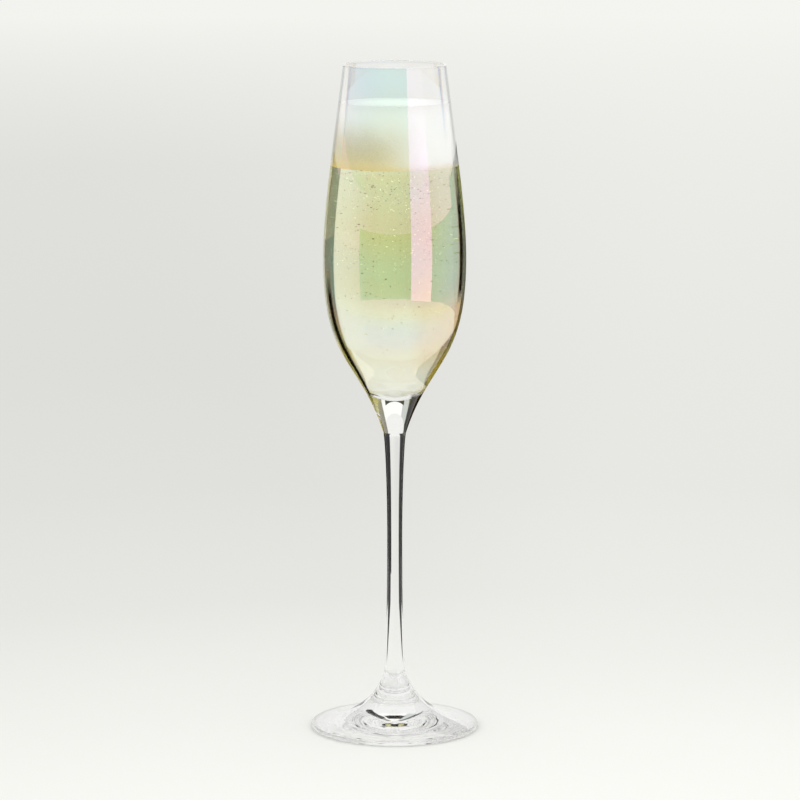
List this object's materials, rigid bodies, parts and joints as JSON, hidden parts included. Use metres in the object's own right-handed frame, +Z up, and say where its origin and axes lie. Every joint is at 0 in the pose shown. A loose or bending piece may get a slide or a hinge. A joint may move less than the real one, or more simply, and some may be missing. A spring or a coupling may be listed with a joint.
{
  "type": "champagne flute",
  "caption": "Tall stemmed glass with a narrow tulip bowl, drawn stem and round foot, poured with sparkling wine under a head of foam.",
  "frame": {"origin": "on the glass's axis, at the height of the surface that its foot stands on", "axes": "+Z up the axis, from the foot to the rim; X and Y are any two directions across it, because the glass is round"},
  "size_m": [0.0668, 0.0668, 0.265],
  "materials": {
    "bowl_glass": "clear blown crystal with a faint pearl lustre on the outside",
    "stem_glass": "clear drawn crystal, fire-polished",
    "foot_glass": "clear pressed crystal, fire-polished, with faint rings underneath",
    "champagne": "clear pale greenish-gold wine with rising bubbles",
    "foam": "matt white froth of fine bubbles, yellower where it meets the wine"
  },
  "bodies": {
    "root": {"foot": "foot_glass", "stem": "stem_glass", "bowl": "bowl_glass", "champagne": "champagne", "foam": "foam"}
  },
  "joints": []
}
